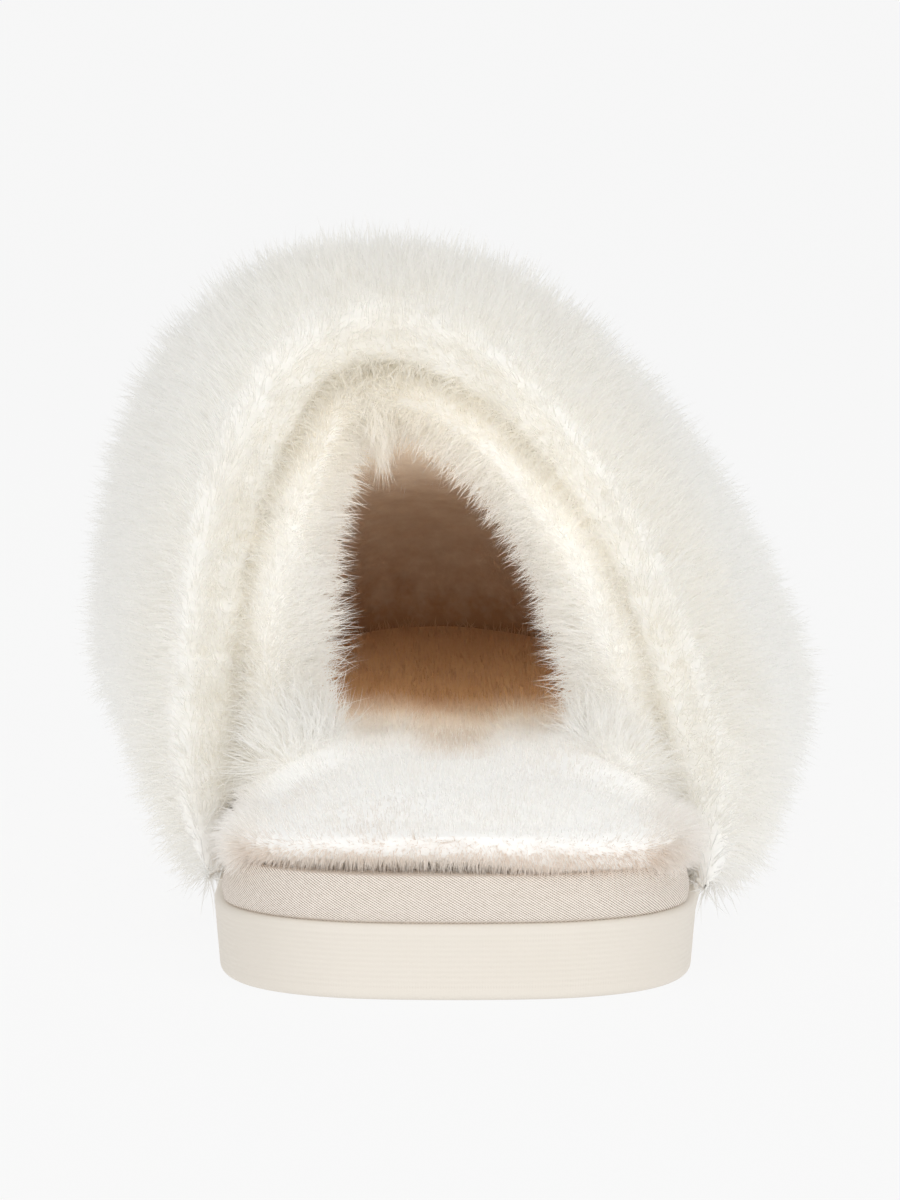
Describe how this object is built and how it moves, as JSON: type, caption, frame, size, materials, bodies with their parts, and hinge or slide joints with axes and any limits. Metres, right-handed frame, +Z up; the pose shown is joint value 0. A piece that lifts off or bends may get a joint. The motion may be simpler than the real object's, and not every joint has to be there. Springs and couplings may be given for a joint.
{
  "type": "house slipper",
  "caption": "Backless fluffy house slipper with a hollow fur-covered upper, a turned-in fur cuff at the collar, a plush footbed and a flat ribbed foam sole.",
  "frame": {"origin": "on the floor under the middle of the sole's length, on the flat underside of the outsole", "axes": "+Y from heel to toe, +X to the outer side of the right foot, +Z up"},
  "size_m": [0.1398, 0.2792, 0.1143],
  "materials": {
    "cream_foam": "matte, finely ribbed side",
    "beige_twill": "diagonal twill weave",
    "white_plush": "deep plush pile",
    "tan_lining": "short plush",
    "cream_fur": "long faux fur"
  },
  "bodies": {
    "root": {"outsole": "cream_foam", "midsole": "beige_twill", "insole": "white_plush", "upper": "tan_lining", "upper_fur": "cream_fur", "cuff_fur": "cream_fur"}
  },
  "joints": []
}
